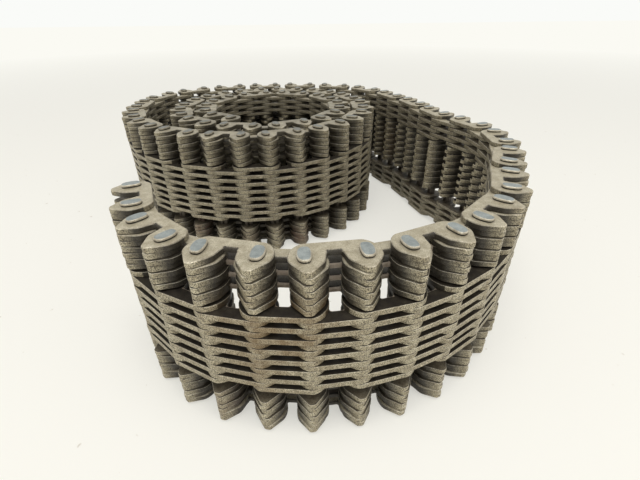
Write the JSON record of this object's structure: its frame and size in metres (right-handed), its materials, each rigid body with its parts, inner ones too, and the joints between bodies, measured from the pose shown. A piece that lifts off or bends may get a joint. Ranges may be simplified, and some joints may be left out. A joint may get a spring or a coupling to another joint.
{
  "type": "silent chain",
  "caption": "Double-sided silent chain of interleaved toothed link plates on rocking pins, standing on its edge as a wound coil with a hinged free run.",
  "frame": {"origin": "middle of the plan's box, at the height of the lower pin heads' faces", "axes": "+Z along the pins, up; X and Y span the plan of the coil, -Y towards the side with the free end"},
  "size_m": [0.1968, 0.2383, 0.0599],
  "materials": {
    "plate_steel": "satin",
    "pin_steel": "satin"
  },
  "bodies": {
    "coil": {"coil_entry_link": "plate_steel", "coil_lower_rows": "plate_steel", "coil_middle_rows": "plate_steel", "coil_upper_rows": "plate_steel", "coil_pins": "pin_steel"},
    "link_01": {"link_01": "plate_steel", "link_01_pins": "pin_steel"},
    "link_02": {"link_02": "plate_steel", "link_02_pins": "pin_steel"},
    "link_03": {"link_03": "plate_steel", "link_03_pins": "pin_steel"},
    "link_04": {"link_04": "plate_steel", "link_04_pins": "pin_steel"},
    "link_05": {"link_05": "plate_steel", "link_05_pins": "pin_steel"},
    "link_06": {"link_06": "plate_steel", "link_06_pins": "pin_steel"},
    "link_07": {"link_07": "plate_steel", "link_07_pins": "pin_steel"},
    "link_08": {"link_08": "plate_steel", "link_08_pins": "pin_steel"},
    "link_09": {"link_09": "plate_steel", "link_09_pins": "pin_steel"},
    "link_10": {"link_10": "plate_steel", "link_10_pins": "pin_steel"},
    "link_11": {"link_11": "plate_steel", "link_11_pins": "pin_steel"},
    "link_12": {"link_12": "plate_steel", "link_12_pins": "pin_steel"},
    "link_13": {"link_13": "plate_steel", "link_13_pins": "pin_steel"},
    "link_14": {"link_14": "plate_steel", "link_14_pins": "pin_steel"},
    "link_15": {"link_15": "plate_steel", "link_15_pins": "pin_steel"},
    "link_16": {"link_16": "plate_steel", "link_16_pins": "pin_steel"},
    "link_17": {"link_17": "plate_steel", "link_17_pins": "pin_steel"},
    "link_18": {"link_18": "plate_steel", "link_18_pins": "pin_steel"},
    "link_19": {"link_19": "plate_steel", "link_19_pins": "pin_steel"},
    "link_20": {"link_20": "plate_steel", "link_20_pins": "pin_steel"},
    "link_21": {"link_21": "plate_steel", "link_21_pins": "pin_steel"},
    "link_22": {"link_22": "plate_steel", "link_22_pins": "pin_steel"},
    "link_23": {"link_23": "plate_steel", "link_23_pins": "pin_steel"},
    "link_24": {"link_24": "plate_steel", "link_24_pins": "pin_steel"},
    "link_25": {"link_25": "plate_steel", "link_25_pins": "pin_steel"},
    "link_26": {"link_26": "plate_steel", "link_26_pins": "pin_steel"},
    "link_27": {"link_27": "plate_steel", "link_27_pins": "pin_steel"}
  },
  "joints": [
    {"name": "joint_01", "type": "hinge", "parent": "link_02", "child": "link_01", "pos_m": [-0.04095, -0.08375, 0], "axis": [0, 0, 1], "range_deg": [-17, 33]},
    {"name": "joint_02", "type": "hinge", "parent": "link_03", "child": "link_02", "pos_m": [-0.03451, -0.09469, 0], "axis": [0, 0, -1], "range_deg": [-43, 7]},
    {"name": "joint_03", "type": "hinge", "parent": "link_04", "child": "link_03", "pos_m": [-0.025, -0.10311, 0], "axis": [0, 0, 1], "range_deg": [-11, 39]},
    {"name": "joint_04", "type": "hinge", "parent": "link_05", "child": "link_04", "pos_m": [-0.01373, -0.10897, 0], "axis": [0, 0, -1], "range_deg": [-39, 11]},
    {"name": "joint_05", "type": "hinge", "parent": "link_06", "child": "link_05", "pos_m": [-0.00138, -0.11193, 0], "axis": [0, 0, 1], "range_deg": [-16, 34]},
    {"name": "joint_06", "type": "hinge", "parent": "link_07", "child": "link_06", "pos_m": [0.01128, -0.11293, 0], "axis": [0, 0, -1], "range_deg": [-37, 13]},
    {"name": "joint_07", "type": "hinge", "parent": "link_08", "child": "link_07", "pos_m": [0.02387, -0.11127, 0], "axis": [0, 0, 1], "range_deg": [-17, 33]},
    {"name": "joint_08", "type": "hinge", "parent": "link_09", "child": "link_08", "pos_m": [0.03611, -0.10788, 0], "axis": [0, 0, -1], "range_deg": [-35, 15]},
    {"name": "joint_09", "type": "hinge", "parent": "link_10", "child": "link_09", "pos_m": [0.04757, -0.10241, 0], "axis": [0, 0, 1], "range_deg": [-15, 35]},
    {"name": "joint_10", "type": "hinge", "parent": "link_11", "child": "link_10", "pos_m": [0.05791, -0.09504, 0], "axis": [0, 0, -1], "range_deg": [-37, 13]},
    {"name": "joint_11", "type": "hinge", "parent": "link_12", "child": "link_11", "pos_m": [0.06649, -0.08567, 0], "axis": [0, 0, 1], "range_deg": [-17, 33]},
    {"name": "joint_12", "type": "hinge", "parent": "link_13", "child": "link_12", "pos_m": [0.07368, -0.07521, 0], "axis": [0, 0, -1], "range_deg": [-38, 12]},
    {"name": "joint_13", "type": "hinge", "parent": "link_14", "child": "link_13", "pos_m": [0.07834, -0.06339, 0], "axis": [0, 0, 1], "range_deg": [-21, 25]},
    {"name": "joint_14", "type": "hinge", "parent": "link_15", "child": "link_14", "pos_m": [0.08299, -0.05157, 0], "axis": [0, 0, -1], "range_deg": [-23, 21]},
    {"name": "joint_15", "type": "hinge", "parent": "link_16", "child": "link_15", "pos_m": [0.08806, -0.03993, 0], "axis": [0, 0, 1], "range_deg": [-18, 32]},
    {"name": "joint_16", "type": "hinge", "parent": "link_17", "child": "link_16", "pos_m": [0.09166, -0.02775, 0], "axis": [0, 0, -1], "range_deg": [-39, 11]},
    {"name": "joint_17", "type": "hinge", "parent": "link_18", "child": "link_17", "pos_m": [0.09222, -0.01506, 0], "axis": [0, 0, 1], "range_deg": [-15, 35]},
    {"name": "joint_18", "type": "hinge", "parent": "link_19", "child": "link_18", "pos_m": [0.09056, -0.00247, 0], "axis": [0, 0, -1], "range_deg": [-43, 7]},
    {"name": "joint_19", "type": "hinge", "parent": "link_20", "child": "link_19", "pos_m": [0.08509, 0.00899, 0], "axis": [0, 0, 1], "range_deg": [-22, 28]},
    {"name": "joint_20", "type": "hinge", "parent": "link_21", "child": "link_20", "pos_m": [0.07903, 0.02015, 0], "axis": [0, 0, -1], "range_deg": [-14, 25]},
    {"name": "joint_21", "type": "hinge", "parent": "link_22", "child": "link_21", "pos_m": [0.07521, 0.03227, 0], "axis": [0, 0, 1], "range_deg": [-27, 21]},
    {"name": "joint_22", "type": "hinge", "parent": "link_23", "child": "link_22", "pos_m": [0.07225, 0.04461, 0], "axis": [0, 0, -1], "range_deg": [-29, 21]},
    {"name": "joint_23", "type": "hinge", "parent": "link_24", "child": "link_23", "pos_m": [0.06843, 0.05673, 0], "axis": [0, 0, 1], "range_deg": [-18, 32]},
    {"name": "joint_24", "type": "hinge", "parent": "link_25", "child": "link_24", "pos_m": [0.06316, 0.06828, 0], "axis": [0, 0, -1], "range_deg": [-25, 25]},
    {"name": "joint_25", "type": "hinge", "parent": "link_26", "child": "link_25", "pos_m": [0.0579, 0.07984, 0], "axis": [0, 0, 1], "range_deg": [-18, 32]},
    {"name": "joint_26", "type": "hinge", "parent": "link_27", "child": "link_26", "pos_m": [0.05126, 0.09067, 0], "axis": [0, 0, -1], "range_deg": [-39, 11]},
    {"name": "joint_27", "type": "hinge", "parent": "coil", "child": "link_27", "pos_m": [0.0422, 0.09957, 0], "axis": [0, 0, 1], "range_deg": [-13, 37]}
  ]
}
